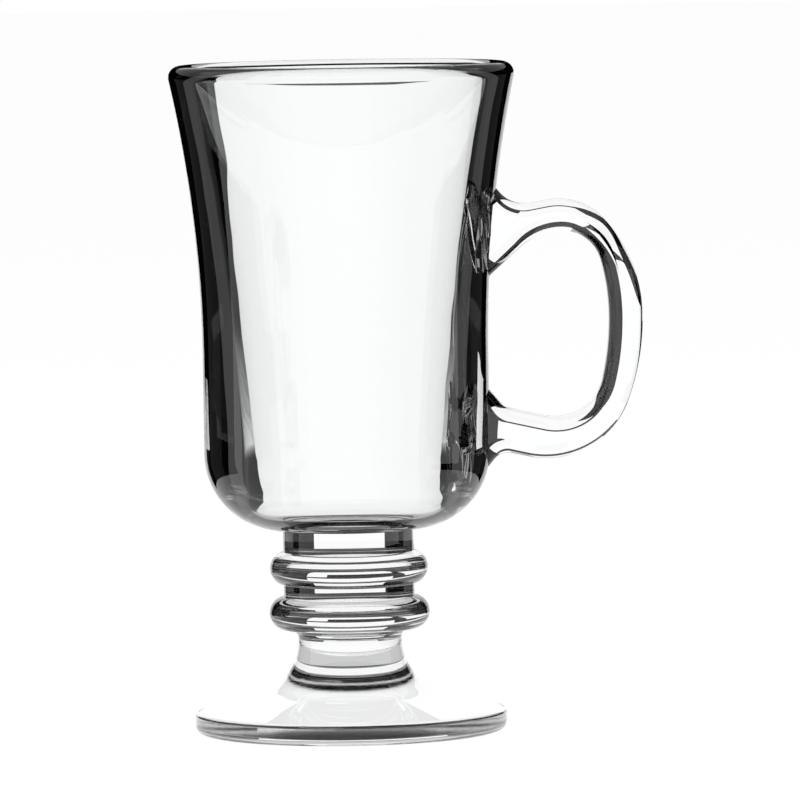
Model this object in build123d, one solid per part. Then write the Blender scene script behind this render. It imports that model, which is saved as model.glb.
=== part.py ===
from build123d import *
import math
import os

# Irish coffee mug of clear pressed glass: a flared bowl with a D-shaped handle, on a solid stem
# with two rings and a wide foot. Millimetres, +Z up. The origin is on the mug's axis, in the plane
# that the foot stands on, and the handle points to +X.

# Foot
FOOT_RADIUS = 34.5
FOOT_EDGE = 4.6  # height of the edge, before its corners are rounded
FOOT_TOP_ROUND = 1.0
FOOT_BOTTOM_ROUND = 1.8
FOOT_HEIGHT = 13.6  # from the table to the seam with the stem
FOOT_SEAT = 6.0  # width of the ring that stands on the table
FOOT_HOLLOW = 1.6  # depth of the hollow inside that ring

# Stem, from the seam with the foot up to the seam with the bowl
SHANK_RADIUS = 11.4
SHANK_FLARE = 12.7  # radius of the concave sweep from the shank to the foot
FLARE_HEIGHT = 7.0  # how far that sweep reaches above the seam
SHOULDER_ROUND = 2.2  # fillet between the shank and the underside of the core
SHOULDER_LEDGE = 0.9  # flat underside of the core, outside that fillet
COLLAR_HEIGHT = 4.9  # bare core between the upper ring and the bowl

# Rings on the core
RING_HEIGHT = 7.4
RING_GAP = 2.5
UPPER_RING_OUT = 3.0  # how far the ring stands out from the core
LOWER_RING_OUT = 3.25

# Bowl
WAIST_RADIUS = 31.65
HEEL_ROUND = 17.0
WAIST_LENGTH = 22.0  # straight wall above the heel
BRIM_HEIGHT = 64.0  # flared wall and lip above the straight wall
RIM_OUT = 6.6  # how far the rim stands out from the waist
LIP_ROUND = 2.7  # radius of the fully rounded lip
HEEL_WALL = 9.35  # wall at the level of the cavity's floor, before its corner is rounded
FLOOR_THICKNESS = 4.5
CAVITY_ROUND = 7.0
CAVITY_SWEEP = 700.0  # radius of the cavity's bowed side

# Handle: its outer and inner edges are ovals of two arcs each, a bend and a long side
HANDLE_WIDTH = 10.5
HANDLE_ROUND = 3.2  # rounding of the long edges
HANDLE_REACH = 34.2  # from the waist's wall to the outermost point
HANDLE_RISE = 46.4  # from the bowl's underside to the outermost point
HANDLE_UP = 26.1  # from the outermost point to the top of the handle
HANDLE_DOWN = 31.4
GRIP = 7.5  # thickness of the upright part
UPPER_LIMB = 7.2
LOWER_LIMB = 9.1
OUTER_TOP_IN = 18.4  # from the outermost point in to the top of the handle
OUTER_TOP_BEND = 13.6
OUTER_BASE_IN = 21.6
OUTER_BASE_BEND = 19.4
INNER_TOP_IN = 10.1  # from the grip's inner face in to the top of the opening
INNER_TOP_BEND = 8.7
INNER_BASE_IN = 11.9
INNER_BASE_BEND = 10.5
UPPER_LIMB_DIP = 10.0  # degrees by which the upper limb's top falls towards the wall
LOWER_LIMB_RISE = 12.5  # degrees by which the lower limb rises towards the wall
ARMPIT_ROUND = 14.0  # sweep under the upper limb
ARMPIT_TURN = 42.0  # degrees through which that sweep turns down
UPPER_ROOT_ROUND = 7.0  # flare of the upper limb's top towards the wall
LOWER_ROOT_ROUND = 3.6  # flare of the lower limb's two edges
ROOT_SLOPE = 50.0  # degrees from level at which those flares run into the wall
UPPER_ROOT_OUT = 9.6  # from the waist's wall to where the upper root starts to flare
LOWER_ROOT_OUT = 4.6

ROUND_LIMIT = 0.45  # largest share of a wall that one rounding takes
TOUCHING = 0.01

# Levels
flare_top = FOOT_HEIGHT + FLARE_HEIGHT
core_bottom = flare_top + SHOULDER_ROUND
lower_ring_top = core_bottom + RING_HEIGHT
upper_ring_bottom = lower_ring_top + RING_GAP
upper_ring_top = upper_ring_bottom + RING_HEIGHT
bowl_bottom = upper_ring_top + COLLAR_HEIGHT
cavity_floor = bowl_bottom + FLOOR_THICKNESS
heel_top = bowl_bottom + HEEL_ROUND
waist_top = heel_top + WAIST_LENGTH
rim = waist_top + BRIM_HEIGHT

# Places in the half section (radius, height)
lip_centre = Vector(WAIST_RADIUS + RIM_OUT - LIP_ROUND, rim - LIP_ROUND)
cavity_corner = Vector(WAIST_RADIUS - HEEL_WALL, cavity_floor)
sweep_centre = Vector(SHANK_RADIUS + SHANK_FLARE, flare_top)
seam_edge = Vector(sweep_centre.X - math.sqrt(SHANK_FLARE**2 - FLARE_HEIGHT**2), FOOT_HEIGHT)
core_radius = SHANK_RADIUS + SHOULDER_ROUND + SHOULDER_LEDGE


def polar(degrees):
    """The direction at an angle from the first axis towards the second."""
    return Vector(math.cos(math.radians(degrees)), math.sin(math.radians(degrees)))


def toward(centre, point, distance):
    """The point at a distance from a centre, on the line towards another point."""
    return centre + (point - centre).normalized() * distance


def arc_about(centre, start, end):
    """The shorter arc about a centre between two points at the same distance from it."""
    half_way = toward(centre, (start + end) / 2, (start - centre).length)
    return ThreePointArc(start, half_way, end)


def turned(edges):
    """A solid turned about the mug's axis from the edges of its half section (radius, height)."""
    return revolve(Plane.XZ * make_face(edges), Axis.Z)


def rounded(solid, corners):
    """The turned solid with the edge through each named corner (radius, height) rounded."""
    for corner, rounding in corners:
        circles = solid.edges().filter_by(lambda edge: edge.is_closed)
        solid = fillet(circles.sort_by_distance((corner.X, 0, corner.Y))[0], rounding)
    return solid


def make_foot():
    top_round = min(FOOT_TOP_ROUND, ROUND_LIMIT * FOOT_EDGE)
    bottom_round = min(FOOT_BOTTOM_ROUND, ROUND_LIMIT * FOOT_EDGE)
    top_edge = Vector(FOOT_RADIUS, FOOT_EDGE)
    bottom_edge = Vector(FOOT_RADIUS, 0)
    hollow_edge = Vector(FOOT_RADIUS - bottom_round - FOOT_SEAT, 0)
    # the sloped top leaves the sweep where it is tangent to it
    span = top_edge - sweep_centre
    lean = math.atan2(span.Y, span.X) - math.acos(SHANK_FLARE / span.length)
    slope_start = sweep_centre + polar(math.degrees(lean)) * SHANK_FLARE
    outline = [
        Line((0, FOOT_HOLLOW), (0, FOOT_HEIGHT)),
        Line((0, FOOT_HEIGHT), seam_edge),
        arc_about(sweep_centre, seam_edge, slope_start),
        Line(slope_start, top_edge),
        Line(top_edge, bottom_edge),
        Line(bottom_edge, hollow_edge),
        TangentArc((0, FOOT_HOLLOW), hollow_edge, tangent=(1, 0)),
    ]
    return rounded(turned(outline), [(top_edge, top_round), (bottom_edge, bottom_round)])


def make_stem():
    waist = Vector(SHANK_RADIUS, flare_top)
    shoulder = Vector(SHANK_RADIUS + SHOULDER_ROUND, core_bottom)
    core_low = Vector(core_radius, core_bottom)
    core_high = Vector(core_radius, bowl_bottom)
    return turned(
        [
            Line((0, bowl_bottom), (0, FOOT_HEIGHT)),
            Line((0, FOOT_HEIGHT), seam_edge),
            arc_about(sweep_centre, seam_edge, waist),
            arc_about(Vector(shoulder.X, waist.Y), waist, shoulder),
            Line(shoulder, core_low),
            Line(core_low, core_high),
            Line(core_high, (0, bowl_bottom)),
        ]
    )


def make_ring(bottom, out):
    """A bead seated on the core, with its lower edge at the given height."""
    low = Vector(core_radius, bottom)
    high = Vector(core_radius, bottom + RING_HEIGHT)
    crest = (low + high) / 2 + Vector(out, 0)
    return turned([Line(low, high), ThreePointArc(high, crest, low)])


def bowl_outside():
    """The outer wall's edges, from the flat underside up to where the lip's rounding starts."""
    flat = Vector(WAIST_RADIUS - HEEL_ROUND, bowl_bottom)
    heel = Vector(WAIST_RADIUS, heel_top)
    waist = Vector(WAIST_RADIUS, waist_top)
    # the flare is upright at the waist and touches the lip's circle
    inset = lip_centre.X - WAIST_RADIUS
    climb = lip_centre.Y - waist_top
    flare = (inset**2 + climb**2 - LIP_ROUND**2) / (2 * (LIP_ROUND + inset))
    flare_centre = Vector(WAIST_RADIUS + flare, waist_top)
    return [
        Line((0, bowl_bottom), flat),
        arc_about(Vector(flat.X, heel_top), flat, heel),
        Line(heel, waist),
        arc_about(flare_centre, waist, toward(flare_centre, lip_centre, flare)),
    ]


def cavity_edges():
    """The cavity's edges, from where the lip's rounding ends down to the axis."""
    # the side's circle passes through the floor's corner and holds the lip's circle inside it
    span = lip_centre - cavity_corner
    held = CAVITY_SWEEP - LIP_ROUND
    along = (span.length**2 + CAVITY_SWEEP**2 - held**2) / (2 * span.length)
    aside = math.sqrt(CAVITY_SWEEP**2 - along**2)
    across = Vector(span.Y, -span.X).normalized()
    side_centre = cavity_corner + span.normalized() * along + across * aside
    # the rounding at the floor touches the floor and the side
    reach = CAVITY_SWEEP + CAVITY_ROUND
    level = cavity_floor + CAVITY_ROUND
    inward = math.sqrt(reach**2 - (side_centre.Y - level) ** 2)
    round_centre = Vector(side_centre.X - inward, level)
    side_top = toward(side_centre, lip_centre, CAVITY_SWEEP)
    side_bottom = toward(side_centre, round_centre, CAVITY_SWEEP)
    floor_edge = Vector(round_centre.X, cavity_floor)
    return [
        arc_about(side_centre, side_top, side_bottom),
        arc_about(round_centre, side_bottom, floor_edge),
        Line(floor_edge, (0, cavity_floor)),
    ]


def make_bowl():
    outside = bowl_outside()
    cavity = cavity_edges()
    lip_top = lip_centre + Vector(0, LIP_ROUND)
    lip = ThreePointArc(outside[-1] @ 1, lip_top, cavity[0] @ 0)
    axis = Line((0, cavity_floor), (0, bowl_bottom))
    return turned([*outside, lip, *cavity, axis])


def bowl_block():
    """The bowl's outer shape, filled, which cuts the handle's roots to the wall."""
    outside = bowl_outside()
    brim = outside[-1] @ 1
    return turned([*outside, Line(brim, (0, brim.Y)), Line((0, brim.Y), (0, bowl_bottom))])


def oval_quarter(side, inward, climb, bend, lean):
    """A quarter of an oval, from its upright side to its top: the side's arc, then the bend.

    The side is a point on the oval, the top lies inward of it and climbs from it, either way, and
    the bend goes on past the top by a lean in degrees.
    """
    up = math.copysign(1, climb)
    height = abs(climb)
    long_radius = (inward**2 + height**2 - 2 * height * bend) / (2 * (inward - bend))
    long_centre = side - Vector(long_radius, 0)
    bend_centre = side + Vector(-inward, climb - up * bend)
    meeting = toward(long_centre, bend_centre, long_radius)
    end = bend_centre + polar(up * (90 + lean)) * bend
    return [arc_about(long_centre, side, meeting), arc_about(bend_centre, meeting, end)]


def root(start, heading, flare_x, turn, radius):
    """A limb's edge from a point towards the wall: a straight run, a flare and a tail in the wall.

    The heading is in degrees from +X, and a positive turn is to the left.
    """
    run_end = start + polar(heading) * ((flare_x - start.X) / polar(heading).X)
    flare = JernArc(run_end, polar(heading), radius, turn)
    leaving = polar(heading + turn)
    tail_x = WAIST_RADIUS - LOWER_ROOT_ROUND
    tail_end = flare @ 1 + leaving * ((tail_x - (flare @ 1).X) / leaving.X)
    run = [Line(start, run_end)] if (start - run_end).length > 0 else []
    return [*run, flare, Line(flare @ 1, tail_end)]


def make_handle():
    middle = bowl_bottom + HANDLE_RISE
    outside = Vector(WAIST_RADIUS + HANDLE_REACH, middle)
    inside = outside - Vector(GRIP, 0)
    roof = HANDLE_UP - UPPER_LIMB
    sill = HANDLE_DOWN - LOWER_LIMB
    upper_x = WAIST_RADIUS + UPPER_ROOT_OUT
    lower_x = WAIST_RADIUS + LOWER_ROOT_OUT
    falling = 180 + UPPER_LIMB_DIP
    rising = 180 - LOWER_LIMB_RISE
    outer_top = oval_quarter(outside, OUTER_TOP_IN, HANDLE_UP, OUTER_TOP_BEND, UPPER_LIMB_DIP)
    outer_base = oval_quarter(outside, OUTER_BASE_IN, -HANDLE_DOWN, OUTER_BASE_BEND, LOWER_LIMB_RISE)
    inner_top = oval_quarter(inside, INNER_TOP_IN, roof, INNER_TOP_BEND, 0)
    inner_base = oval_quarter(inside, INNER_BASE_IN, -sill, INNER_BASE_BEND, LOWER_LIMB_RISE)
    armpit_x = (inner_top[-1] @ 1).X
    upper_edge = root(outer_top[-1] @ 1, falling, upper_x, -ROOT_SLOPE - UPPER_LIMB_DIP, UPPER_ROOT_ROUND)
    armpit = root(inner_top[-1] @ 1, 180, armpit_x, ARMPIT_TURN, ARMPIT_ROUND)
    sill_edge = root(inner_base[-1] @ 1, rising, lower_x, LOWER_LIMB_RISE - ROOT_SLOPE, LOWER_ROOT_ROUND)
    lower_edge = root(outer_base[-1] @ 1, rising, lower_x, ROOT_SLOPE + LOWER_LIMB_RISE, LOWER_ROOT_ROUND)
    outline = [
        *outer_top,
        *upper_edge,
        Line(upper_edge[-1] @ 1, armpit[-1] @ 1),
        *armpit,
        *inner_top,
        *inner_base,
        *sill_edge,
        Line(sill_edge[-1] @ 1, lower_edge[-1] @ 1),
        *lower_edge,
        *outer_base,
    ]
    slab = extrude(Plane.XZ * make_face(outline), HANDLE_WIDTH / 2, both=True)
    sides = slab.faces().sort_by(Axis.Y)
    edges = sides[0].edges() + sides[-1].edges()
    long_edges = edges.filter_by(lambda edge: edge.bounding_box().size.X > TOUCHING)
    outer = [*outer_top, *outer_base]
    inner = [*inner_top, *inner_base]
    thinnest = min(edge.distance_to(other) for edge in outer for other in inner)
    rounding = min(HANDLE_ROUND, ROUND_LIMIT * min(HANDLE_WIDTH, thinnest))
    return fillet(long_edges, rounding) - bowl_block()


pieces = {
    "foot": make_foot(),
    "stem": make_stem(),
    "lower_ring": make_ring(core_bottom, LOWER_RING_OUT),
    "upper_ring": make_ring(upper_ring_bottom, UPPER_RING_OUT),
    "bowl": make_bowl(),
    "handle": make_handle(),
}

os.makedirs("parts", exist_ok=True)
for name, piece in pieces.items():
    print(name, round(piece.volume / 1000, 2), "cm3")
    export_step(piece, f"parts/{name}.step")
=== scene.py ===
import math

import bpy
import numpy as np
from mathutils import Matrix, Vector
from mathutils.geometry import delaunay_2d_cdt


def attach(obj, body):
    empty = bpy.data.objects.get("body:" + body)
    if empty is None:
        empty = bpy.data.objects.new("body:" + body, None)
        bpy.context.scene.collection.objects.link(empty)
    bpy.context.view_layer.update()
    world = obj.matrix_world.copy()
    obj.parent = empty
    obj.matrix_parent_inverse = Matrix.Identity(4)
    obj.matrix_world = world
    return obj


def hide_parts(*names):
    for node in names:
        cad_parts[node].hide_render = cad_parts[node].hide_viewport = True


# Irish coffee mug of clear pressed glass. The six bodies of glass are fused to each other, so the faces in
# which two of them meet bend no light. Sections are in millimetres (radius or x, height), and meshes are
# in metres.
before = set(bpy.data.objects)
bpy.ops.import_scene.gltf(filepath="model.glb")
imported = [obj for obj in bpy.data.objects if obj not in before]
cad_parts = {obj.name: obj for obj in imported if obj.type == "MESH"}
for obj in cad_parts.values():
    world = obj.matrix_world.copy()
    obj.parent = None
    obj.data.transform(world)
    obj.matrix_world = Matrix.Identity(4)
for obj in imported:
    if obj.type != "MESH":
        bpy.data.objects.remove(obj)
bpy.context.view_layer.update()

MM = 0.001
TINY = 1e-6
TURN_STEPS = 360  # steps round the axis
GLASS, FUSED, STIPPLED = 0, 1, 2  # material slots; only the foot has the last one

# Foot and stem
FOOT_RADIUS, FOOT_EDGE, FOOT_HEIGHT = 34.5, 4.6, 13.6
FOOT_TOP_ROUND, FOOT_BOTTOM_ROUND = 1.0, 1.8
FOOT_SEAT, FOOT_HOLLOW = 6.0, 1.6
SHANK_RADIUS, SHANK_FLARE, FLARE_TOP = 11.4, 12.7, 20.6
CORE_RADIUS, CORE_BOTTOM, SHOULDER_ROUND = 14.5, 22.8, 2.2
RING_HEIGHT, UPPER_RING_BOTTOM = 7.4, 32.7
UPPER_RING_OUT, LOWER_RING_OUT = 3.0, 3.25

# Bowl
BOWL_BOTTOM, CAVITY_FLOOR, WAIST_TOP, RIM = 45.0, 49.5, 84.0, 148.0
WAIST_RADIUS, HEEL_ROUND, RIM_OUT, LIP_ROUND = 31.65, 17.0, 6.6, 2.7
HEEL_WALL, CAVITY_ROUND, CAVITY_SWEEP = 9.35, 7.0, 700.0

# Handle
HANDLE_WIDTH, HANDLE_ROUND = 10.5, 3.2
OUTER_SIDE, INNER_SIDE, HANDLE_MIDDLE = 65.85, 58.35, 91.4
HANDLE_UP, HANDLE_DOWN, ROOF, SILL = 26.1, 31.4, 18.9, 22.3
OUTER_TOP_IN, OUTER_TOP_BEND = 18.4, 13.6
OUTER_BASE_IN, OUTER_BASE_BEND = 21.6, 19.4
INNER_TOP_IN, INNER_TOP_BEND = 10.1, 8.7
INNER_BASE_IN, INNER_BASE_BEND = 11.9, 10.5
UPPER_LIMB_DIP, LOWER_LIMB_RISE = 10.0, 12.5
ARMPIT_ROUND, ARMPIT_TURN = 14.0, 42.0
UPPER_ROOT_ROUND, LOWER_ROOT_ROUND, ROOT_SLOPE = 7.0, 3.6, 50.0
UPPER_ROOT_X, LOWER_ROOT_X, TAIL_X = 41.25, 36.25, 28.05
UPPER_CLEAR_X, LOWER_CLEAR_X = 34.6, 33.6  # the limbs are clear of the wall all round down to these

# Spacing of the rows of a section: straight runs in millimetres, arcs in degrees
SHORT, PLAIN, LONG, LIMB = 0.5, 1.0, 2.0, 0.2
CORNER_TURN, SWEEP_TURN = 4, 2
HOLLOW_TURN, FLARE_TURN, CAVITY_SIDE_TURN, CAVITY_ROUND_TURN = 0.2, 0.2, 0.04, 3
LOOP_TURN, BEND_TURN, ROOT_TURN = 0.25, 0.5, 1


def v2(x, y):
    return np.array([x, y], float)


def polar(degrees):
    return v2(math.cos(math.radians(degrees)), math.sin(math.radians(degrees)))


def toward(centre, point, distance):
    return centre + (point - centre) / np.linalg.norm(point - centre) * distance


# A run of a section is a list of (point, outward normal, material slot of the face that starts there).
# A section is walked with the glass on its left.
def line(start, end, step, slot=GLASS):
    start, end = np.asarray(start, float), np.asarray(end, float)
    along = end - start
    length = np.linalg.norm(along)
    normal = v2(along[1], -along[0]) / length
    count = max(1, math.ceil(length / step))
    return [(start + along * k / count, normal, slot) for k in range(count + 1)]


def arc(centre, start, end, step, slot=GLASS):
    """The shorter arc about a centre, in steps of about the given degrees."""
    centre, start, end = (np.asarray(p, float) for p in (centre, start, end))
    radius = np.linalg.norm(start - centre)
    first = math.atan2(*(start - centre)[::-1])
    turn = math.atan2(*(end - centre)[::-1]) - first
    turn = (turn + math.pi) % (2 * math.pi) - math.pi
    count = max(2, math.ceil(abs(math.degrees(turn)) / step))
    out = 1 if turn > 0 else -1
    run = []
    for k in range(count + 1):
        spoke = polar(math.degrees(first + turn * k / count))
        run.append((centre + spoke * radius, spoke * out, slot))
    return run


def mesh_object(name, verts, faces, normals, slots):
    """A mesh whose corners have the given normals."""
    mesh = bpy.data.meshes.new(name)
    mesh.from_pydata([tuple(v) for v in verts], [], faces)
    mesh.polygons.foreach_set("material_index", slots)
    mesh.polygons.foreach_set("use_smooth", [True] * len(faces))
    mesh.normals_split_custom_set([tuple(n) for corner in normals for n in corner])
    mesh.validate()
    piece = bpy.data.objects.new(name, mesh)
    bpy.context.scene.collection.objects.link(piece)
    return piece


def turned(runs):
    """A section turned about Z: vertices, faces, corner normals, slots, (row, column) of each face, and rows.

    A row is the number of its first vertex and its point on the section.
    """
    angles = np.arange(TURN_STEPS) * 2 * math.pi / TURN_STEPS
    cosines, sines = np.cos(angles), np.sin(angles)
    verts, rows = [], []

    def add_row(point):
        rows.append((len(verts), point))
        if point[0] < TINY:
            verts.append((0, 0, point[1] * MM))
            return
        for c, s in zip(cosines, sines):
            verts.append((point[0] * c * MM, point[0] * s * MM, point[1] * MM))

    def spun(normal, j):
        j %= TURN_STEPS
        return (normal[0] * cosines[j], normal[0] * sines[j], normal[1])

    faces, normals, slots, places = [], [], [], []
    add_row(runs[0][0][0])
    for run in runs:
        for (p0, n0, slot), (p1, n1, _) in zip(run, run[1:]):
            low = rows[-1][0]
            add_row(p1)
            high = rows[-1][0]
            for j in range(TURN_STEPS):
                k = (j + 1) % TURN_STEPS
                if p0[0] < TINY:
                    faces.append((low, high + k, high + j))
                    normals.append((spun(n0, j), spun(n1, k), spun(n1, j)))
                elif p1[0] < TINY:
                    faces.append((low + j, low + k, high))
                    normals.append((spun(n0, j), spun(n0, k), spun(n1, j)))
                else:
                    faces.append((low + j, low + k, high + k, high + j))
                    normals.append((spun(n0, j), spun(n0, k), spun(n1, k), spun(n1, j)))
                slots.append(slot)
                places.append((len(rows) - 2, j))
    return verts, faces, normals, slots, places, rows


def turned_piece(name, runs):
    verts, faces, normals, slots, _, _ = turned(runs)
    return mesh_object(name, verts, faces, normals, slots)


def corner_round(before, corner, after, radius):
    """Centre and both ends of the rounding of a section's corner between two straight runs."""
    a = (before - corner) / np.linalg.norm(before - corner)
    b = (after - corner) / np.linalg.norm(after - corner)
    half = math.acos(float(np.clip(a @ b, -1, 1))) / 2
    reach = radius / math.tan(half)
    middle = (a + b) / np.linalg.norm(a + b)
    return corner + middle * radius / math.sin(half), corner + a * reach, corner + b * reach


# Foot, stem and rings
sweep_centre = v2(SHANK_RADIUS + SHANK_FLARE, FLARE_TOP)
seam_edge = v2(sweep_centre[0] - math.sqrt(SHANK_FLARE**2 - (FLARE_TOP - FOOT_HEIGHT) ** 2), FOOT_HEIGHT)


def foot_runs():
    top_edge, bottom_edge = v2(FOOT_RADIUS, FOOT_EDGE), v2(FOOT_RADIUS, 0)
    hollow_edge = v2(FOOT_RADIUS - FOOT_BOTTOM_ROUND - FOOT_SEAT, 0)
    span = top_edge - sweep_centre
    lean = math.atan2(span[1], span[0]) - math.acos(SHANK_FLARE / np.linalg.norm(span))
    slope_start = sweep_centre + polar(math.degrees(lean)) * SHANK_FLARE
    hollow_radius = (hollow_edge[0] ** 2 + FOOT_HOLLOW**2) / (2 * FOOT_HOLLOW)
    hollow_centre = v2(0, FOOT_HOLLOW - hollow_radius)
    low, low_start, low_end = corner_round(hollow_edge, bottom_edge, top_edge, FOOT_BOTTOM_ROUND)
    high, high_start, high_end = corner_round(bottom_edge, top_edge, slope_start, FOOT_TOP_ROUND)
    return [
        arc(hollow_centre, v2(0, FOOT_HOLLOW), hollow_edge, HOLLOW_TURN, STIPPLED),
        line(hollow_edge, low_start, PLAIN, STIPPLED),
        arc(low, low_start, low_end, CORNER_TURN),
        line(low_end, high_start, SHORT),
        arc(high, high_start, high_end, CORNER_TURN),
        line(high_end, slope_start, PLAIN),
        arc(sweep_centre, slope_start, seam_edge, SWEEP_TURN),
        line(seam_edge, (0, FOOT_HEIGHT), LONG, FUSED),
    ]


def stem_runs():
    waist = v2(SHANK_RADIUS, FLARE_TOP)
    shoulder = v2(SHANK_RADIUS + SHOULDER_ROUND, CORE_BOTTOM)
    lower_ring_top = CORE_BOTTOM + RING_HEIGHT
    upper_ring_top = UPPER_RING_BOTTOM + RING_HEIGHT
    return [
        line((0, FOOT_HEIGHT), seam_edge, LONG, FUSED),
        arc(sweep_centre, seam_edge, waist, SWEEP_TURN),
        arc((shoulder[0], waist[1]), waist, shoulder, CORNER_TURN),
        line(shoulder, (CORE_RADIUS, CORE_BOTTOM), SHORT),
        line((CORE_RADIUS, CORE_BOTTOM), (CORE_RADIUS, lower_ring_top), PLAIN, FUSED),
        line((CORE_RADIUS, lower_ring_top), (CORE_RADIUS, UPPER_RING_BOTTOM), SHORT),
        line((CORE_RADIUS, UPPER_RING_BOTTOM), (CORE_RADIUS, upper_ring_top), PLAIN, FUSED),
        line((CORE_RADIUS, upper_ring_top), (CORE_RADIUS, BOWL_BOTTOM), SHORT),
        line((CORE_RADIUS, BOWL_BOTTOM), (0, BOWL_BOTTOM), LONG, FUSED),
    ]


def ring_runs(bottom, out):
    low, high = v2(CORE_RADIUS, bottom), v2(CORE_RADIUS, bottom + RING_HEIGHT)
    half = RING_HEIGHT / 2
    radius = (half**2 + out**2) / (2 * out)
    centre = v2(CORE_RADIUS + out - radius, bottom + half)
    return [arc(centre, low, high, SWEEP_TURN), line(high, low, PLAIN, FUSED)]


# Bowl
lip_centre = v2(WAIST_RADIUS + RIM_OUT - LIP_ROUND, RIM - LIP_ROUND)
heel_top = BOWL_BOTTOM + HEEL_ROUND
heel_centre = v2(WAIST_RADIUS - HEEL_ROUND, heel_top)
lip_inset, lip_climb = lip_centre - v2(WAIST_RADIUS, WAIST_TOP)
flare_radius = (lip_inset**2 + lip_climb**2 - LIP_ROUND**2) / (2 * (LIP_ROUND + lip_inset))
flare_centre = v2(WAIST_RADIUS + flare_radius, WAIST_TOP)


def wall(height):
    """Radius and outward normal of the bowl's outer wall at a height."""
    if height < heel_top:
        spoke = v2(math.sqrt(HEEL_ROUND**2 - (heel_top - height) ** 2), height - heel_top) / HEEL_ROUND
        return heel_centre[0] + spoke[0] * HEEL_ROUND, spoke
    if height < WAIST_TOP:
        return WAIST_RADIUS, v2(1, 0)
    away = math.sqrt(flare_radius**2 - (height - WAIST_TOP) ** 2)
    return flare_centre[0] - away, v2(away, WAIST_TOP - height) / flare_radius


def bowl_runs():
    flat = v2(WAIST_RADIUS - HEEL_ROUND, BOWL_BOTTOM)
    heel, waist = v2(WAIST_RADIUS, heel_top), v2(WAIST_RADIUS, WAIST_TOP)
    brim = toward(flare_centre, lip_centre, flare_radius)
    corner = v2(WAIST_RADIUS - HEEL_WALL, CAVITY_FLOOR)
    span = lip_centre - corner
    length = np.linalg.norm(span)
    along = (length**2 + CAVITY_SWEEP**2 - (CAVITY_SWEEP - LIP_ROUND) ** 2) / (2 * length)
    aside = math.sqrt(CAVITY_SWEEP**2 - along**2)
    side_centre = corner + span / length * along + v2(span[1], -span[0]) / length * aside
    level = CAVITY_FLOOR + CAVITY_ROUND
    inward = math.sqrt((CAVITY_SWEEP + CAVITY_ROUND) ** 2 - (side_centre[1] - level) ** 2)
    round_centre = v2(side_centre[0] - inward, level)
    side_top = toward(side_centre, lip_centre, CAVITY_SWEEP)
    side_bottom = toward(side_centre, round_centre, CAVITY_SWEEP)
    floor_edge = v2(round_centre[0], CAVITY_FLOOR)
    lip_top = lip_centre + v2(0, LIP_ROUND)
    return [
        line((0, BOWL_BOTTOM), (CORE_RADIUS, BOWL_BOTTOM), LONG, FUSED),
        line((CORE_RADIUS, BOWL_BOTTOM), flat, SHORT),
        arc(heel_centre, flat, heel, SWEEP_TURN),
        line(heel, waist, PLAIN),
        arc(flare_centre, waist, brim, FLARE_TURN),
        arc(lip_centre, brim, lip_top, CORNER_TURN),
        arc(lip_centre, lip_top, side_top, CORNER_TURN),
        arc(side_centre, side_top, side_bottom, CAVITY_SIDE_TURN),
        arc(round_centre, side_bottom, floor_edge, CAVITY_ROUND_TURN),
        line(floor_edge, (0, CAVITY_FLOOR), PLAIN),
    ]


# Handle: the outer and the inner edge are sampled paths of points with the direction into the glass
LOOP_CENTRE = v2(47.0, 90.0)
LOOP_END = 180  # station at which the lower limb starts


def oval_quarter(side, inward, climb, bend, lean):
    """A quarter of the loop: a long arc from the outermost point, then the bend into a limb."""
    up = math.copysign(1, climb)
    height = abs(climb)
    long_radius = (inward**2 + height**2 - 2 * height * bend) / (2 * (inward - bend))
    long_centre = side - v2(long_radius, 0)
    bend_centre = side + v2(-inward, climb - up * bend)
    meeting = toward(long_centre, bend_centre, long_radius)
    end = bend_centre + polar(up * (90 + lean)) * bend
    return [arc(long_centre, side, meeting, LOOP_TURN), arc(bend_centre, meeting, end, BEND_TURN)]


def root(start, heading, flare_x, turn, radius):
    """One edge of a limb: straight to the flare, round it, and on into the wall."""
    ahead = polar(heading)
    run_end = start + ahead * ((flare_x - start[0]) / ahead[0])
    left = math.copysign(1, turn)
    centre = run_end + left * v2(-ahead[1], ahead[0]) * radius
    flare_end = centre + polar(heading + turn - left * 90) * radius
    leaving = polar(heading + turn)
    tail_end = flare_end + leaving * ((TAIL_X - flare_end[0]) / leaving[0])
    run = [line(start, run_end, LIMB)] if np.linalg.norm(run_end - start) > TINY else []
    return [*run, arc(centre, run_end, flare_end, ROOT_TURN), line(flare_end, tail_end, LIMB)]


def path(runs):
    """Points of joined runs, and for each the unit direction along the path."""
    points = [runs[0][0][0]]
    for run in runs:
        points += [p for p, _, _ in run[1:]]
    points = np.array(points)
    ahead = np.gradient(points, axis=0)
    return points, ahead / np.linalg.norm(ahead, axis=1)[:, None]


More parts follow.
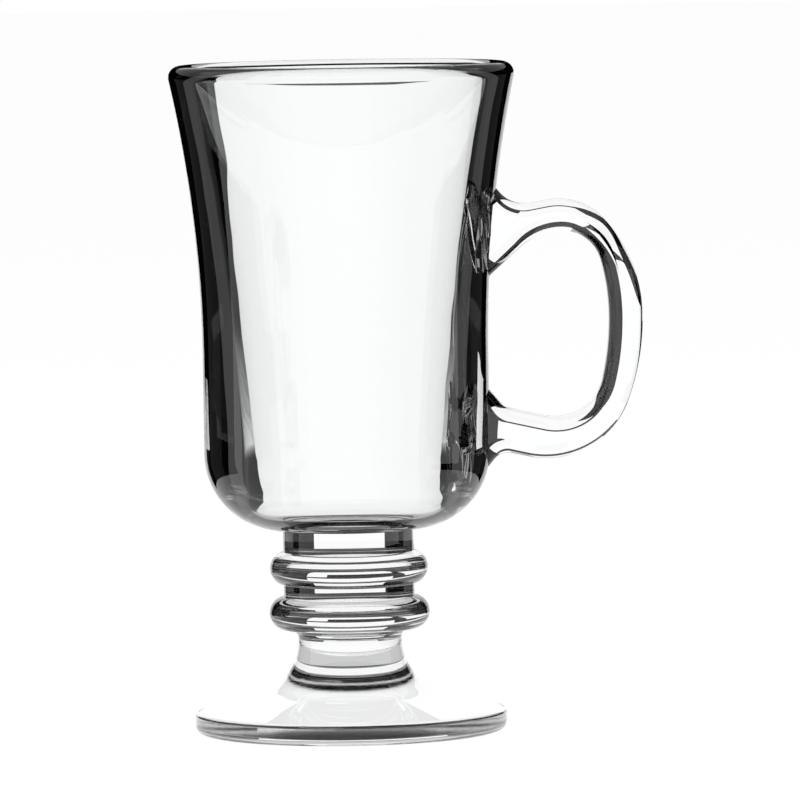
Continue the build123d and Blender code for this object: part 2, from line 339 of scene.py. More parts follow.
class Edge:
    """One long edge of the handle, from the upper root to the lower root, looked up by station.

    A station counts x on the upper limb, then the angle about LOOP_CENTRE in the loop, then x on the lower
    limb.
    """

    def __init__(self, upper, lower, inside):
        up_points, up_ahead = path(upper)
        low_points, low_ahead = path(lower)
        self.points = np.concatenate([up_points[::-1], low_points[1:]])
        ahead = np.concatenate([-up_ahead[::-1], low_ahead[1:]])
        # walked clockwise round the loop, the glass is right of the outer edge and left of the inner edge
        self.into = inside * np.stack([ahead[:, 1], -ahead[:, 0]], 1)
        first = int(np.argmax(self.points[:, 0] > LOOP_CENTRE[0]))
        last = len(self.points) - int(np.argmax(self.points[::-1, 0] > LOOP_CENTRE[0]))
        spokes = self.points - LOOP_CENTRE
        self.station = np.where(
            np.arange(len(self.points)) < first, self.points[:, 0] - LOOP_CENTRE[0],
            90 - np.degrees(np.arctan2(spokes[:, 1], spokes[:, 0])))
        self.station[last:] = LOOP_END + LOOP_CENTRE[0] - self.points[last:, 0]

    def at(self, station):
        """The point at a station, and the unit direction from it into the glass."""
        point, into = (
            v2(*(np.interp(station, self.station, column) for column in values.T))
            for values in (self.points, self.into))
        return point, into / np.linalg.norm(into)


side_out, side_in = v2(OUTER_SIDE, HANDLE_MIDDLE), v2(INNER_SIDE, HANDLE_MIDDLE)
outer_top = oval_quarter(side_out, OUTER_TOP_IN, HANDLE_UP, OUTER_TOP_BEND, UPPER_LIMB_DIP)
outer_base = oval_quarter(side_out, OUTER_BASE_IN, -HANDLE_DOWN, OUTER_BASE_BEND, LOWER_LIMB_RISE)
inner_top = oval_quarter(side_in, INNER_TOP_IN, ROOF, INNER_TOP_BEND, 0)
inner_base = oval_quarter(side_in, INNER_BASE_IN, -SILL, INNER_BASE_BEND, LOWER_LIMB_RISE)
outer_top_end, outer_base_end, inner_top_end, inner_base_end = (
    quarter[-1][-1][0] for quarter in (outer_top, outer_base, inner_top, inner_base))
falling, rising = 180 + UPPER_LIMB_DIP, 180 - LOWER_LIMB_RISE
outer_edge = Edge(
    outer_top + root(outer_top_end, falling, UPPER_ROOT_X, -ROOT_SLOPE - UPPER_LIMB_DIP, UPPER_ROOT_ROUND),
    outer_base + root(outer_base_end, rising, LOWER_ROOT_X, ROOT_SLOPE + LOWER_LIMB_RISE, LOWER_ROOT_ROUND),
    1)
inner_edge = Edge(
    inner_top + root(inner_top_end, 180, inner_top_end[0], ARMPIT_TURN, ARMPIT_ROUND),
    inner_base + root(inner_base_end, rising, LOWER_ROOT_X, LOWER_LIMB_RISE - ROOT_SLOPE, LOWER_ROOT_ROUND),
    -1)

ROUND_STEPS, FACE_STEPS, SIDE_STEPS = 8, 6, 8  # steps round the handle's section


def section(station):
    """Points and outward normals round the handle at a station, in millimetres."""
    half = HANDLE_WIDTH / 2 - HANDLE_ROUND
    outer, inner = outer_edge.at(station), inner_edge.at(station)
    points, normals = [], []

    def add(flat, y, normal, across):
        points.append((flat[0], y, flat[1]))
        normals.append((normal[0], across, normal[1]))

    def add_round(edge, into, sign, a):
        add(edge + into * HANDLE_ROUND * (1 - math.cos(a)), sign * (half + HANDLE_ROUND * math.sin(a)),
            -into * math.cos(a), sign * math.sin(a))

    for sign, (edge, into), (other, other_into) in ((1, outer, inner), (-1, inner, outer)):
        for k in range(FACE_STEPS):
            add(edge, sign * half * (2 * k / FACE_STEPS - 1), -into, 0)
        for k in range(ROUND_STEPS):
            add_round(edge, into, sign, math.pi / 2 * k / ROUND_STEPS)
        start, end = edge + into * HANDLE_ROUND, other + other_into * HANDLE_ROUND
        for k in range(SIDE_STEPS):
            add(start + (end - start) * k / SIDE_STEPS, sign * HANDLE_WIDTH / 2, v2(0, 0), sign)
        for k in range(ROUND_STEPS):
            add_round(other, other_into, sign, math.pi / 2 * (1 - k / ROUND_STEPS))
    return np.array(points), np.array(normals)


def in_wall(point):
    """Whether a point is inside the bowl's outer wall."""
    x, y, z = point
    return math.hypot(x, y) < wall(z)[0]


UPPER_LAST = UPPER_CLEAR_X - LOOP_CENTRE[0]  # the last stations that are clear of the wall all round
LOWER_LAST = LOOP_END + LOOP_CENTRE[0] - LOWER_CLEAR_X
TAIL_DEPTH = LOOP_CENTRE[0] - TAIL_X
ROOT_ROWS = 10
HALVINGS = 40


def root_rows(last, deepest):
    """Rows from the last clear station to the wall: every point stops where it meets the wall."""
    count = len(section(last)[0])
    near, far = np.full(count, last), np.full(count, deepest)
    for _ in range(HALVINGS):
        middle = (near + far) / 2
        inside = np.array([in_wall(section(m)[0][j]) for j, m in enumerate(middle)])
        far = np.where(inside, middle, far)
        near = np.where(inside, near, middle)
        if np.max(np.abs(far - near)) < TINY:
            break
    reach = []
    for k in range(1, ROOT_ROWS + 1):
        cuts = [section(s) for s in last + (near - last) * k / ROOT_ROWS]
        reach.append(tuple(np.array([cut[part][j] for j, cut in enumerate(cuts)]) for part in (0, 1)))
    ends = reach[-1][0]
    for j, (x, y, z) in enumerate(ends):
        scale = wall(z)[0] / math.hypot(x, y)
        ends[j] = (x * scale, y * scale, z)
    return reach


STATION_STEP, LOOP_STEP = 0.3, 1.2  # millimetres along a limb, degrees round the loop


def handle_rows():
    upper = list(np.linspace(UPPER_LAST, 0, round(-UPPER_LAST / STATION_STEP) + 1))
    loop = list(np.linspace(0, LOOP_END, round(LOOP_END / LOOP_STEP) + 1))
    lower = list(np.linspace(LOOP_END, LOWER_LAST, round((LOWER_LAST - LOOP_END) / STATION_STEP) + 1))
    rows = [section(s) for s in upper[:-1] + loop + lower[1:]]
    head = root_rows(UPPER_LAST, -TAIL_DEPTH)
    tail = root_rows(LOWER_LAST, LOOP_END + TAIL_DEPTH)
    return head[::-1] + rows + tail


# The bowl's outer wall takes the outline of each root, and the handle ends in the same faces
SPAN = 13  # columns of the wall on each side of the handle that are laid out again
MARGIN = 1.5  # mm of wall above and below a root that are laid out again
CLEARANCE = 0.25  # mm, the least distance from a root's outline to another vertex of the wall
WALL_LIMIT = 146.0  # height up to which a row counts as wall and not as lip
JUST_PAST = 0.01  # mm
MERGE_DISTANCE = 1e-9
INSIDE_TIES = 1  # kind of triangulation: only inside the given edges


def outline_distance(spot, outline):
    """Least distance from a spot to a closed outline."""
    a, b = outline, np.roll(outline, -1, axis=0)
    t = np.clip(((np.array(spot) - a) * (b - a)).sum(1) / ((b - a) ** 2).sum(1), 0, 1)
    return np.min(np.linalg.norm(a + (b - a) * t[:, None] - spot, axis=1))


def within(spot, outline):
    """Whether a spot lies inside a closed outline."""
    a, b = outline, np.roll(outline, -1, axis=0)
    crosses = (a[:, 1] > spot[1]) != (b[:, 1] > spot[1])
    at = a[:, 0] + (spot[1] - a[:, 1]) / np.where(crosses, b[:, 1] - a[:, 1], 1) * (b[:, 0] - a[:, 0])
    return bool((crosses & (at > spot[0])).sum() % 2)


def clockwise(a, b, c):
    return (b[0] - a[0]) * (c[1] - a[1]) - (b[1] - a[1]) * (c[0] - a[0]) < 0


def make_bowl(root_rings):
    """The bowl, and for each root the faces in which it meets the wall.

    A corner of such a face is the number of a point on the root's ring, or a place inside the ring.
    """
    verts, faces, normals, slots, places, levels = turned(bowl_runs())
    wall_first = next(
        i for i, (_, p) in enumerate(levels)
        if p[0] > CORE_RADIUS + JUST_PAST and p[1] > BOWL_BOTTOM + JUST_PAST)
    wall_last = max(
        i for i, (_, p) in enumerate(levels)
        if abs(p[0] - wall(min(p[1], WALL_LIMIT))[0]) < TINY and p[1] < WALL_LIMIT)
    heights = {i: levels[i][1][1] for i in range(wall_first, wall_last)}
    patches, dropped, ring_caps = [], set(), []
    for ring in root_rings:
        first = max(i for i, height in heights.items() if height < ring[:, 2].min() - MARGIN)
        last = min(i for i, height in heights.items() if height > ring[:, 2].max() + MARGIN)
        outline = np.array([(math.atan2(y, x) * WAIST_RADIUS, z) for x, y, z in ring])
        flat, index, spots = [], [], {}
        for i in range(first, last + 1):
            for j in range(-SPAN, SPAN + 1):
                spot = (2 * math.pi * j / TURN_STEPS * WAIST_RADIUS, levels[i][1][1])
                border = i in (first, last) or abs(j) == SPAN
                if not border and outline_distance(spot, outline) < CLEARANCE:
                    continue
                spots[i, j] = len(flat)
                flat.append(spot)
                index.append(levels[i][0] + j % TURN_STEPS)
        ring_start, count = len(flat), len(ring)
        flat += [tuple(p) for p in outline]
        for x, y, z in ring:
            index.append(len(verts))
            verts.append((x * MM, y * MM, z * MM))
        border = [(i, -SPAN) for i in range(first, last)] + [(last, j) for j in range(-SPAN, SPAN)]
        border += [(i, SPAN) for i in range(last, first, -1)] + [(first, j) for j in range(SPAN, -SPAN, -1)]
        loop = [spots[b] for b in border]
        ties = list(zip(loop, loop[1:] + loop[:1]))
        ties += [(ring_start + k, ring_start + (k + 1) % count) for k in range(count)]
        sites = [Vector(p) for p in flat]
        points, _, triangles, _, _, _ = delaunay_2d_cdt(sites, ties, [], INSIDE_TIES, MERGE_DISTANCE)
        assert len(points) == len(flat)
        cap = []
        for tri in triangles:
            slot = FUSED if within(np.mean([flat[k] for k in tri], axis=0), outline) else GLASS
            if clockwise(*(flat[k] for k in tri)):
                tri = tri[::-1]
            corners = []
            for k in tri:
                angle = flat[k][0] / WAIST_RADIUS
                out = wall(flat[k][1])[1]
                corners.append((out[0] * math.cos(angle), out[0] * math.sin(angle), out[1]))
            patches.append((tuple(index[k] for k in tri), corners, slot))
            if slot == FUSED:
                cap.append([k - ring_start if k >= ring_start else verts[index[k]] for k in tri])
        ring_caps.append(cap)
        dropped |= {(i, j % TURN_STEPS) for i in range(first, last) for j in range(-SPAN, SPAN)}

    kept = [k for k, place in enumerate(places) if place not in dropped]
    faces = [faces[k] for k in kept] + [p[0] for p in patches]
    normals = [normals[k] for k in kept] + [p[1] for p in patches]
    slots = [slots[k] for k in kept] + [p[2] for p in patches]
    used = sorted({k for face in faces for k in face})
    renumbered = {k: n for n, k in enumerate(used)}
    faces = [tuple(renumbered[k] for k in face) for face in faces]
    return mesh_object("bowl_glass", [verts[k] for k in used], faces, normals, slots), ring_caps


def make_handle(rows, ring_caps):
    verts, faces, normals, slots = [], [], [], []
    count = len(rows[0][0])
    for points, _ in rows:
        verts += [tuple(p * MM) for p in points]
    for i, ((_, n0), (_, n1)) in enumerate(zip(rows, rows[1:])):
        low, high = i * count, (i + 1) * count
        for j in range(count):
            k = (j + 1) % count
            faces.append((low + j, high + j, high + k, low + k))
            normals.append((n0[j], n1[j], n1[k], n0[k]))
            slots.append(GLASS)
    for start, cap in zip((0, (len(rows) - 1) * count), ring_caps):
        added = {}
        for tri in cap:
            face = []
            for k in tri[::-1]:
                if isinstance(k, tuple):
                    if k not in added:
                        added[k] = len(verts)
                        verts.append(k)
                    k = added[k]
                else:
                    k += start
                face.append(k)
            faces.append(tuple(face))
            normals.append([(-1, 0, 0)] * 3)
            slots.append(FUSED)
    return mesh_object("handle_glass", verts, faces, normals, slots)


rows = handle_rows()
bowl, ring_caps = make_bowl((rows[0][0], rows[-1][0]))
made = {
    "foot": turned_piece("foot_glass", foot_runs()),
    "stem": turned_piece("stem_glass", stem_runs()),
    "lower_ring": turned_piece("lower_ring_glass", ring_runs(CORE_BOTTOM, LOWER_RING_OUT)),
    "upper_ring": turned_piece("upper_ring_glass", ring_runs(UPPER_RING_BOTTOM, UPPER_RING_OUT)),
    "bowl": bowl,
    "handle": make_handle(rows, ring_caps),
}

# Materials. Scales are per metre and depths in metres.
IOR = 1.52
DAMP_IOR = 1.09  # underside of the foot: glass against the damp film that it stands in
TINT = (0.992, 1.0, 0.997, 1)
PURE_WHITE = (1, 1, 1, 1)
WAVE_SCALE, WAVE_DETAIL, WAVE_DEPTH = 55.0, 1.0, 0.00012  # slow unevenness of fire-polished glass
GRAIN_SCALE, GRAIN_DETAIL, GRAIN_ROUGHNESS = 900.0, 2.0, 0.012  # faint haze that the mould leaves
GRAIN_START, GRAIN_FULL = 0.55, 0.8  # values of the noise between which that haze sets in
STIPPLE_SCALE, STIPPLE_DETAIL, STIPPLE_DEPTH = 1600.0, 1.0, 0.00003  # the mould's texture under the foot
STIPPLE_ROUGHNESS = 0.02


def new_material(name):
    material = bpy.data.materials.new(name)
    material.use_nodes = True
    tree = material.node_tree
    tree.nodes.clear()
    out = tree.nodes.new("ShaderNodeOutputMaterial")
    return material, tree, out


def make_glass(name, ior, waves, depth, grain, limits):
    """Glass with bump from one noise and roughness from another, each given as (scale, detail).

    The limits are those of the Map Range from the second noise to the roughness.
    """
    material, tree, out = new_material(name)
    shader = tree.nodes.new("ShaderNodeBsdfPrincipled")
    shader.inputs["Base Color"].default_value = TINT
    shader.inputs["IOR"].default_value = ior
    shader.inputs["Transmission Weight"].default_value = 1.0
    place = tree.nodes.new("ShaderNodeTexCoord").outputs["Object"]

    def noise(scale, detail):
        node = tree.nodes.new("ShaderNodeTexNoise")
        node.inputs["Scale"].default_value = scale
        node.inputs["Detail"].default_value = detail
        tree.links.new(place, node.inputs["Vector"])
        return node.outputs[0]

    bump = tree.nodes.new("ShaderNodeBump")
    bump.inputs["Distance"].default_value = depth
    tree.links.new(noise(*waves), bump.inputs["Height"])
    tree.links.new(bump.outputs[0], shader.inputs["Normal"])
    haze = tree.nodes.new("ShaderNodeMapRange")
    for socket, limit in limits.items():
        haze.inputs[socket].default_value = limit
    tree.links.new(noise(*grain), haze.inputs["Value"])
    tree.links.new(haze.outputs[0], shader.inputs["Roughness"])
    tree.links.new(shader.outputs[0], out.inputs["Surface"])
    return material


def make_fused():
    material, tree, out = new_material("fused_joint")
    shader = tree.nodes.new("ShaderNodeBsdfTransparent")
    shader.inputs["Color"].default_value = PURE_WHITE
    tree.links.new(shader.outputs[0], out.inputs["Surface"])
    return material


materials = (
    make_glass(
        "clear_glass", IOR, (WAVE_SCALE, WAVE_DETAIL), WAVE_DEPTH, (GRAIN_SCALE, GRAIN_DETAIL),
        {"From Min": GRAIN_START, "From Max": GRAIN_FULL, "To Max": GRAIN_ROUGHNESS}),
    make_fused(),
    make_glass(
        "stippled_glass", DAMP_IOR, (STIPPLE_SCALE, STIPPLE_DETAIL), STIPPLE_DEPTH,
        (STIPPLE_SCALE, STIPPLE_DETAIL), {"To Min": STIPPLE_ROUGHNESS / 2, "To Max": STIPPLE_ROUGHNESS}),
)
for node, piece in made.items():
    for material in materials if node == "foot" else materials[:STIPPLED]:
        piece.data.materials.append(material)
    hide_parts(node)
    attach(piece, "root")

# Stage: a white floor and a white surround, with cards round the mug that only the glass sees. Dark cards
# beside white windows draw the mug's edges dark, as in bright-field glass photography. Directions are in
# degrees from +Y, behind the mug, towards +X, where the handle is. Heights and radii are in metres.
BLACK, GREY, PALE, WHITE = 0.001, 0.06, 0.34, 1.0  # tones of the cards
EDGE_TONE, SHANK_TONE = 0.25, 0.6  # for reflections inside the foot's edge and the shank
NEVER, ONCE, TWICE = 0.5, 1.5, 2.5  # limits just past a count of 0, 1 and 2
FLAG_RADIUS = 0.215
FLAG_STEP, CIRCLE_STEP = 2.0, 5  # degrees
flag_materials = {}


def flag_material(tones):
    """A glowing card with a tone for each way that a ray can take through the glass.

    In order: only mirrored by the glass, straight through one body, straight through both walls of the bowl,
    reflected once, twice or more often inside one body, and reflected once on the way through both walls.
    """
    if tones not in flag_materials:
        mirrored, one, both, one_inside, one_twice, one_often, both_inside = tones
        material, tree, out = new_material("card_" + "_".join(str(round(t * 1000)) for t in tones))
        shader = tree.nodes.new("ShaderNodeEmission")
        shader.inputs["Color"].default_value = PURE_WHITE
        shader.inputs["Strength"].default_value = both
        if len(set(tones)) > 1:
            rays = tree.nodes.new("ShaderNodeLightPath")

            def choose(name, limit, below, above):
                """The first value while the named depth is under the limit, else the second value."""
                test = tree.nodes.new("ShaderNodeMath")
                test.operation = "LESS_THAN"
                test.inputs[1].default_value = limit
                tree.links.new(rays.outputs[name], test.inputs[0])
                mix = tree.nodes.new("ShaderNodeMix")
                tree.links.new(test.outputs[0], mix.inputs["Factor"])
                for socket, value in ((mix.inputs["A"], above), (mix.inputs["B"], below)):
                    if isinstance(value, float):
                        socket.default_value = value
                    else:
                        tree.links.new(value, socket)
                return mix.outputs["Result"]

            straight = choose("Transmission Depth", TWICE, one, both)
            bounced = choose("Glossy Depth", ONCE, both_inside, BLACK)
            again = choose("Glossy Depth", TWICE, one_twice, one_often)
            returned = choose("Glossy Depth", ONCE, one_inside, again)
            inside = choose("Transmission Depth", TWICE, returned, bounced)
            through = choose("Glossy Depth", NEVER, straight, inside)
            tree.links.new(choose("Transmission Depth", NEVER, mirrored, through), shader.inputs["Strength"])
        tree.links.new(shader.outputs[0], out.inputs["Surface"])
        flag_materials[tones] = material
    return flag_materials[tones]


def stage_card(name, verts, faces, tones):
    """A card that only the glass sees."""
    mesh = bpy.data.meshes.new(name)
    mesh.from_pydata(verts, [], faces)
    mesh.materials.append(flag_material(tones))
    card = bpy.data.objects.new(name, mesh)
    card.visible_camera = False
    card.visible_diffuse = False
    card.visible_shadow = False
    bpy.context.scene.collection.objects.link(card)


def flag(name, tones, first, last):
    """A curved card between two edges, each a list of (height, direction)."""
    heights = sorted({h for h, _ in first} | {h for h, _ in last})
    steps = max(2, math.ceil(max(d for _, d in last) - min(d for _, d in first)))
    count = math.ceil(steps / FLAG_STEP)
    verts, faces = [], []
    for row, height in enumerate(heights):
        start, end = (np.interp(height, *zip(*edge)) for edge in (first, last))
        for k in range(count + 1):
            angle = math.radians(start + (end - start) * k / count)
            verts.append((FLAG_RADIUS * math.sin(angle), FLAG_RADIUS * math.cos(angle), height))
        if row:
            low, high = (row - 1) * (count + 1), row * (count + 1)
            faces += [(low + k, low + k + 1, high + k + 1, high + k) for k in range(count)]
    stage_card(name, verts, faces, tones)


HEADER_LOW, HEADER_HIGH, CEILING = 0.145, 0.200, 0.330


def upright(direction, low=0.0, high=HEADER_LOW):
    return [(low, direction), (high, direction)]


def between(start, end, low=0.0, high=HEADER_LOW):
    """The two upright edges of a card."""
    return upright(start, low, high), upright(end, low, high)


def clip(edge, low, high):
    """The stretch of an edge between two heights."""
    middle = [(h, d) for h, d in edge if low < h < high]
    return [(low, np.interp(low, *zip(*edge))), *middle, (high, np.interp(high, *zip(*edge)))]


# Windows behind the mug. Their outer edges follow the dark bands in the bowl's walls.
LEFT_EDGE = [(0.0, -31), (0.045, -31), (0.078, -26), (0.103, -22)]
LEFT_TOP = [(0.103, -22), (0.112, -20.5), (HEADER_LOW, -20.5)]
RIGHT_EDGE = [(0.0, 34), (0.045, 34), (0.078, 30), (0.112, 33), (HEADER_LOW, 33)]
BACK_LEFT, BACK_RIGHT, BRIGHT_LEFT, STRIP_RIGHT = -22, 21, 3, 10
FOOT_TOP, STRIP_LOW, STRIP_STEP, STRIP_HIGH = 0.015, 0.035, 0.046, 0.070
window = (WHITE, WHITE, WHITE, BLACK, BLACK, BLACK, BLACK)
foot_window = (WHITE, WHITE, WHITE, EDGE_TONE, EDGE_TONE, EDGE_TONE, BLACK)
bowl_window = (WHITE, BLACK, WHITE, BLACK, BLACK, BLACK, BLACK)
bright_window = (WHITE, WHITE, WHITE, WHITE, BLACK, BLACK, BLACK)
flag("backlight_behind_left", bowl_window, LEFT_EDGE, upright(BACK_LEFT, 0, LEFT_EDGE[-1][0]))
flag("backlight_behind_low", window, *between(BACK_LEFT, BRIGHT_LEFT, FOOT_TOP, STRIP_LOW))
flag("backlight_behind_bright", bright_window, *between(BRIGHT_LEFT, BACK_RIGHT, FOOT_TOP, STRIP_LOW))
flag("backlight_behind_foot", foot_window, *between(BACK_LEFT, BACK_RIGHT, 0, FOOT_TOP))
flag("backlight_behind_line", bowl_window, *between(BACK_LEFT, BACK_RIGHT, STRIP_LOW, STRIP_STEP))
flag("backlight_behind_strip", bowl_window, *between(BACK_LEFT, STRIP_RIGHT, STRIP_STEP, STRIP_HIGH))
flag("backlight_behind_end", window, *between(STRIP_RIGHT, BACK_RIGHT, STRIP_STEP, STRIP_HIGH))
flag("backlight_behind", window, [(STRIP_HIGH, BACK_LEFT), *LEFT_TOP], upright(BACK_RIGHT, STRIP_HIGH))
flag("backlight_behind_right", bowl_window, upright(BACK_RIGHT), RIGHT_EDGE)

# Cards at the sides and in front of the mug
LOW_FLAG = 0.025
RIGHT_NEAR, RIGHT_GREY, RIGHT_SIDE, RIGHT_BACKLIGHT, RIGHT_GRADES = 45, 66, 84, 112, 128
FRONT_START, FRONT_END, LEFT_GRADES = 158, 216, 246
LEFT_BACKLIGHT, LEFT_SIDE, LEFT_START = 248, 276, 286
GRADES, GRADE_STEP = (0.75, 0.5, 0.25), 10
open_window = (WHITE, WHITE, WHITE, BLACK, BLACK, BLACK, WHITE)
side_window = (BLACK, WHITE, WHITE, BLACK, BLACK, BLACK, WHITE)
front = (WHITE, BLACK, BLACK, BLACK, BLACK, BLACK, WHITE)
facing = (WHITE, WHITE, WHITE, WHITE, BLACK, BLACK, WHITE)
opposite = (WHITE, BLACK, WHITE, BLACK, BLACK, BLACK, WHITE)
low_flag = (BLACK, BLACK, WHITE, BLACK, BLACK, BLACK, BLACK)
flag("flag_right_side", opposite, *between(RIGHT_SIDE, RIGHT_BACKLIGHT, LOW_FLAG))
flag("flag_right_low", low_flag, *between(RIGHT_SIDE, RIGHT_BACKLIGHT, 0, LOW_FLAG))
flag("backlight_right", open_window, *between(RIGHT_BACKLIGHT, RIGHT_GRADES))
flag("flag_front", facing, *between(FRONT_START, FRONT_END))
for k, share in enumerate(GRADES):
    near, far = GRADE_STEP * k, GRADE_STEP * (k + 1)
    right_grade = (WHITE, WHITE, WHITE, share, BLACK, BLACK, WHITE)
    left_grade = (WHITE, BLACK, BLACK, share, BLACK, BLACK, WHITE)
    flag(f"backlight_right_{k}", right_grade, *between(FRONT_START - far, FRONT_START - near))
    flag(f"flag_front_{k}", left_grade, *between(FRONT_END + near, FRONT_END + far))
flag("flag_front_left", front, *between(LEFT_GRADES, LEFT_BACKLIGHT))
flag("backlight_left", open_window, *between(LEFT_BACKLIGHT, LEFT_SIDE))
flag("backlight_left_side", side_window, *between(LEFT_SIDE, LEFT_START))

# Dark flags beside the windows. Seen through both walls they darken upwards, and the left ones are white at
# the heights that show through the mouth from above.
LEFT_FAR, LEFT_GREY, LEFT_NEAR = -74, -66, -43
SHADE_LOW, SHADE_HIGH, SHADE_STEPS = 0.026, 0.050, 8
MOUTH_LOW, MOUTH_HIGH = 0.029, 0.080
DISPLAY_POWER = 2.2  # makes the steps look even
SIDE_FLAGS = (  # name, tone, tone that shows through the mouth, the two edges
    ("left_far", BLACK, WHITE, *between(LEFT_FAR, LEFT_GREY)),
    ("left_grey", GREY, WHITE, *between(LEFT_GREY, LEFT_NEAR)),
    ("left_near", BLACK, WHITE, upright(LEFT_NEAR), [*LEFT_EDGE, *LEFT_TOP[1:]]),
    ("right_near", BLACK, BLACK, RIGHT_EDGE, upright(RIGHT_NEAR)),
    ("right_grey", GREY, GREY, *between(RIGHT_NEAR, RIGHT_GREY)),
    ("right_far", BLACK, BLACK, *between(RIGHT_GREY, RIGHT_SIDE)),
)


def shade(height, tone):
    """What a side flag shows through both walls: white at the bottom, its own tone from SHADE_HIGH up."""
    share = np.clip((SHADE_HIGH - height) / (SHADE_HIGH - SHADE_LOW), 0, 1)
    return max(tone, round(float(share) ** DISPLAY_POWER, 3))


shade_heights = [round(float(h), 4) for h in np.linspace(SHADE_LOW, SHADE_HIGH, SHADE_STEPS + 1)]
side_heights = [0.0, *shade_heights, MOUTH_HIGH, HEADER_LOW]
for name, tone, mouth_tone, first, last in SIDE_FLAGS:
    for k, (low, high) in enumerate(zip(side_heights, side_heights[1:])):
        middle = (low + high) / 2
        one = mouth_tone if MOUTH_LOW < middle < MOUTH_HIGH else tone
        tones = (tone, one, shade(middle, tone), tone, tone, tone, tone)
        flag(f"flag_{name}_{k}", tones, clip(first, low, high), clip(last, low, high))

# Cards above the mug, on the table and under the foot. The disc under the foot is a painted shadow: white to
# rays straight through the glass, dark to rays reflected inside it.
UPPER_START, UPPER_END = 22, 338  # the upper card is open behind the mug
TABLE_LIFT = 0.0002
FLOOR_GAP = 0.0001  # film under the foot
CONTACT = 0.036  # radius of the table under the foot
header = (BLACK, BLACK, BLACK, BLACK, BLACK, BLACK, WHITE)
overhead = (PALE, PALE, PALE, PALE, PALE, PALE, WHITE)
table = (WHITE, WHITE, WHITE, GREY, GREY, GREY, BLACK)
# tones of the painted shadow under the foot
under = (WHITE, WHITE, WHITE, SHANK_TONE, BLACK, SHANK_TONE, BLACK)


def circle(radius, height):
    return [(*polar(d) * radius, height) for d in range(0, 360, CIRCLE_STEP)]


def disc(name, radius, height, tones):
    rim = circle(radius, height)
    stage_card(name, rim, [tuple(range(len(rim)))], tones)


def table_ring(name, start, end, tones):
    inner, outer = circle(start, TABLE_LIFT), circle(end, TABLE_LIFT)
    count = len(inner)
    faces = [(k, count + k, count + (k + 1) % count, (k + 1) % count) for k in range(count)]
    stage_card(name, inner + outer, faces, tones)


flag("flag_header", header, *between(-180, 180, HEADER_LOW, HEADER_HIGH))
flag("flag_upper", overhead, *between(UPPER_START, UPPER_END, HEADER_HIGH, CEILING))
# painted shadow where the foot stands on the table
disc("flag_painted_foot_shadow", CONTACT, -FLOOR_GAP / 2, under)
table_ring("flag_table", CONTACT, FLAG_RADIUS, table)
disc("flag_ceiling", FLAG_RADIUS, CEILING, overhead)

# Floor, surround and lamps
FLOOR_SIDE = 8.0
FLOOR_WHITE = 0.95  # share of the floor that is plain white to camera and glass; the rest takes the shadow
FLOOR_COLOUR = (0.95, 0.95, 0.95, 1)
WORLD_AMBIENT = 0.6
MUG_MIDDLE = Vector((0, 0, 0.07))
SOFTBOX_SIZE = 0.8
SOFTBOXES = (  # name, place, watts
    ("softbox_left", (-1.0, -0.9, 1.3), 34),
    ("softbox_right", (1.2, -0.6, 1.2), 27),
)


def seen_rays(tree):
    """A socket that is 1 for camera, glossy and transmission rays."""
    rays = tree.nodes.new("ShaderNodeLightPath")
    total = rays.outputs["Is Camera Ray"]
    for name in ("Is Glossy Ray", "Is Transmission Ray"):
        add = tree.nodes.new("ShaderNodeMath")
        add.operation = "ADD"
        add.use_clamp = True
        tree.links.new(total, add.inputs[0])
        tree.links.new(rays.outputs[name], add.inputs[1])
        total = add.outputs[0]
    return total


def mix_shaders(tree, share, first, second, out):
    mix = tree.nodes.new("ShaderNodeMixShader")
    for k, socket in enumerate((share, first.outputs[0], second.outputs[0])):
        tree.links.new(socket, mix.inputs[k])
    tree.links.new(mix.outputs[0], out.inputs["Surface"])


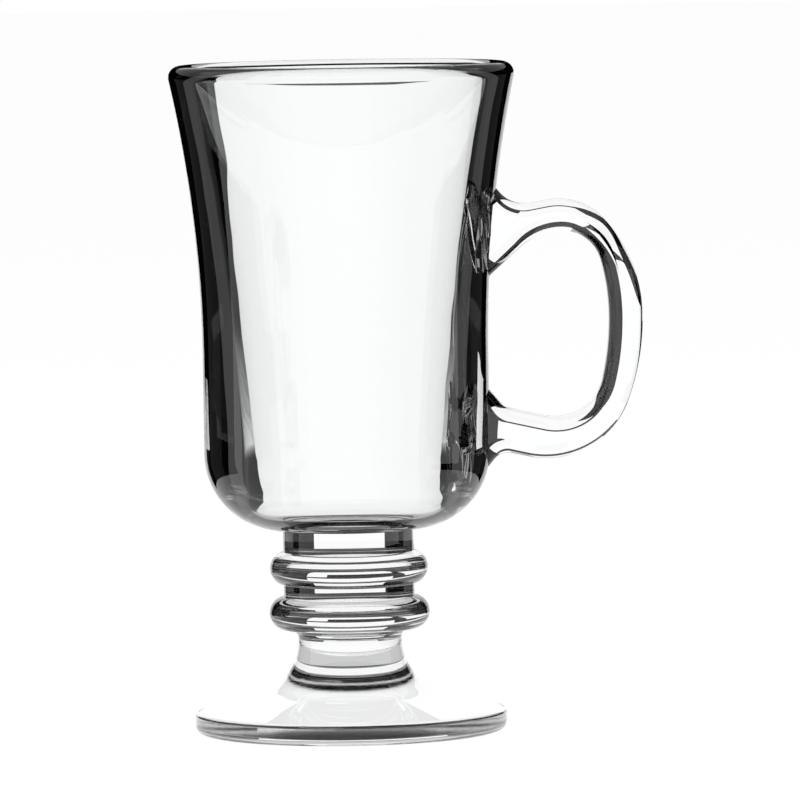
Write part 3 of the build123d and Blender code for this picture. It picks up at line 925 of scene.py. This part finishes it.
def make_floor():
    mesh = bpy.data.meshes.new("floor")
    corners = ((-1, -1), (1, -1), (1, 1), (-1, 1))
    mesh.from_pydata([(x * FLOOR_SIDE, y * FLOOR_SIDE, -FLOOR_GAP) for x, y in corners], [], [(0, 1, 2, 3)])
    floor = bpy.data.objects.new("floor", mesh)
    bpy.context.scene.collection.objects.link(floor)
    material, tree, out = new_material("white_floor")
    white = tree.nodes.new("ShaderNodeEmission")
    matt = tree.nodes.new("ShaderNodeBsdfDiffuse")
    matt.inputs["Color"].default_value = FLOOR_COLOUR
    share = tree.nodes.new("ShaderNodeMath")
    share.operation = "MULTIPLY"
    share.inputs[1].default_value = FLOOR_WHITE
    tree.links.new(seen_rays(tree), share.inputs[0])
    mix_shaders(tree, share.outputs[0], matt, white, out)
    mesh.materials.append(material)


def make_world():
    world = bpy.data.worlds.new("studio")
    world.use_nodes = True
    tree = world.node_tree
    tree.nodes.clear()
    out = tree.nodes.new("ShaderNodeOutputWorld")
    ambient, white = (tree.nodes.new("ShaderNodeBackground") for _ in range(2))
    for background in (ambient, white):
        background.inputs["Color"].default_value = PURE_WHITE
    ambient.inputs["Strength"].default_value = WORLD_AMBIENT
    mix_shaders(tree, seen_rays(tree), ambient, white, out)
    bpy.context.scene.world = world


def make_lamp(name, at, watts):
    data = bpy.data.lights.new(name, "AREA")
    data.size = SOFTBOX_SIZE
    data.energy = watts
    lamp = bpy.data.objects.new(name, data)
    lamp.location = at
    lamp.rotation_euler = (MUG_MIDDLE - Vector(at)).to_track_quat("-Z", "Y").to_euler()
    bpy.context.scene.collection.objects.link(lamp)


make_floor()
make_world()
for softbox in SOFTBOXES:
    make_lamp(*softbox)

# Camera
CAMERA_AT = Vector((0.0, -1.885, 0.198))
CAMERA_AIM = Vector((0.0119, 0.0, 0.0733))
CAMERA_ROLL = -0.923  # degrees
SENSOR_WIDTH, LENS = 36.0, 384.0  # mm
data = bpy.data.cameras.new("camera")
data.sensor_width = SENSOR_WIDTH
data.lens = LENS
camera = bpy.data.objects.new("camera", data)
bpy.context.scene.collection.objects.link(camera)
turn = (CAMERA_AIM - CAMERA_AT).to_track_quat("-Z", "Y").to_matrix().to_4x4()
roll = Matrix.Rotation(math.radians(CAMERA_ROLL), 4, "Z")
camera.matrix_world = Matrix.Translation(CAMERA_AT) @ turn @ roll
bpy.context.scene.camera = camera

BOUNCES, TRANSPARENT_BOUNCES = 10, 64
scene = bpy.context.scene
scene.view_settings.view_transform = "Standard"
scene.cycles.max_bounces = BOUNCES
scene.cycles.glossy_bounces = BOUNCES
scene.cycles.transmission_bounces = BOUNCES
scene.cycles.transparent_max_bounces = TRANSPARENT_BOUNCES
